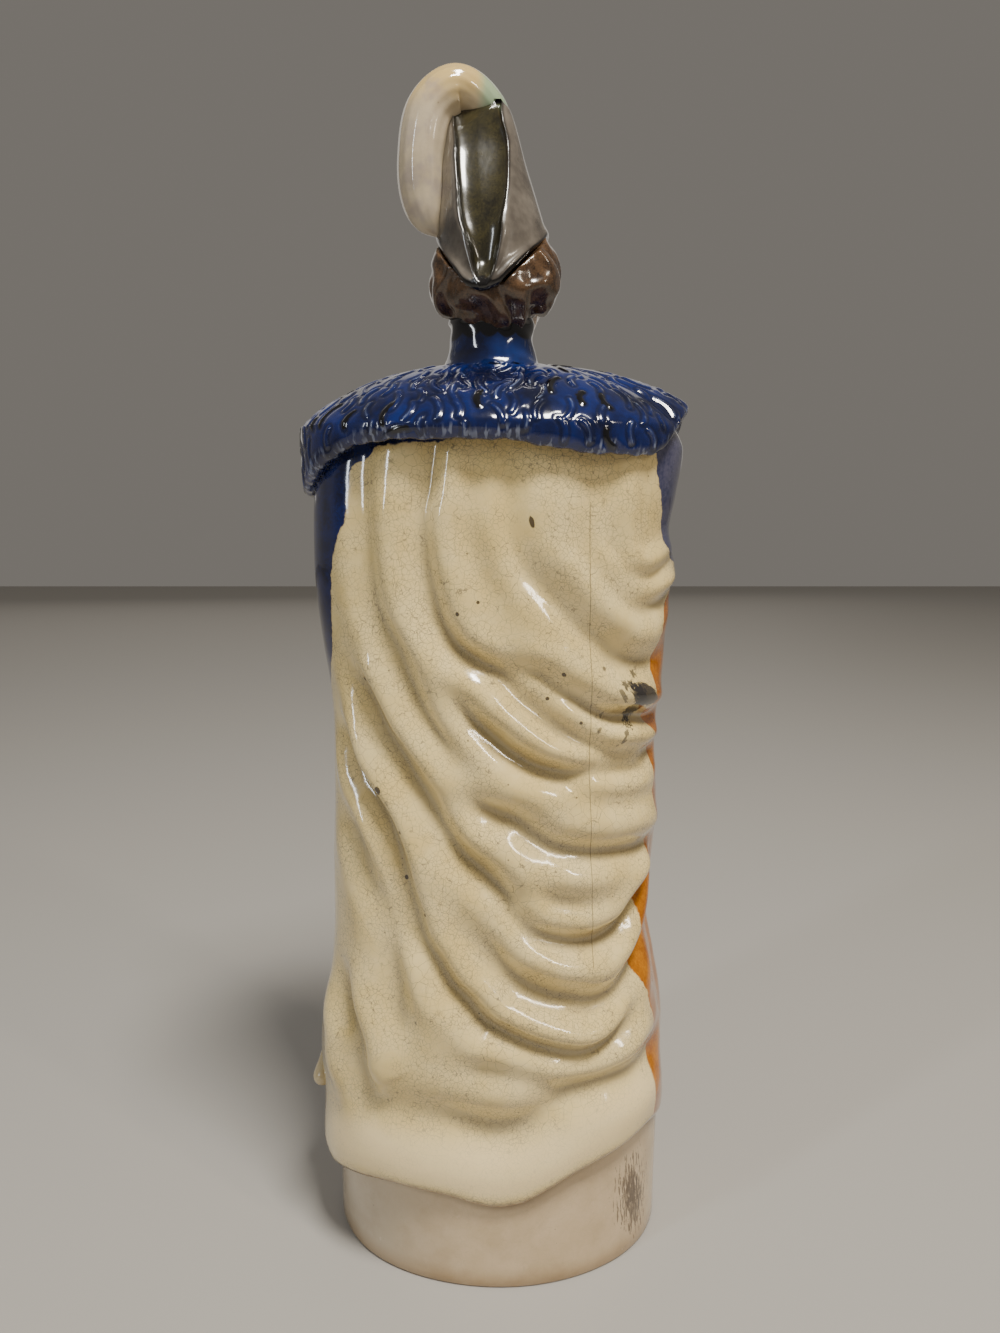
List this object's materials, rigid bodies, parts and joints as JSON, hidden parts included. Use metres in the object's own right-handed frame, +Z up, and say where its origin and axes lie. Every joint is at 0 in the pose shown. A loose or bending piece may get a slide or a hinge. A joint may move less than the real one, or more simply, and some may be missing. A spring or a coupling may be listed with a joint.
{
  "type": "ceramic figure",
  "caption": "Flatback earthenware figure of a standing officer in a plumed cocked hat, fur shoulder cape and long swagged cloak, on an oval base, glazed cream with blue, brown and black.",
  "frame": {"origin": "middle of the oval base's flat underside", "axes": "+Z up through the plume, -Y the way the figure faces, +Y towards its cloaked back, +X towards its left hand"},
  "size_m": [0.1334, 0.0959, 0.3999],
  "materials": {
    "glazed_earthenware": "glossy crazed cream glaze, with brushed cobalt blue, brown, black and orange"
  },
  "bodies": {
    "root": {"figure": "glazed_earthenware"}
  },
  "joints": []
}
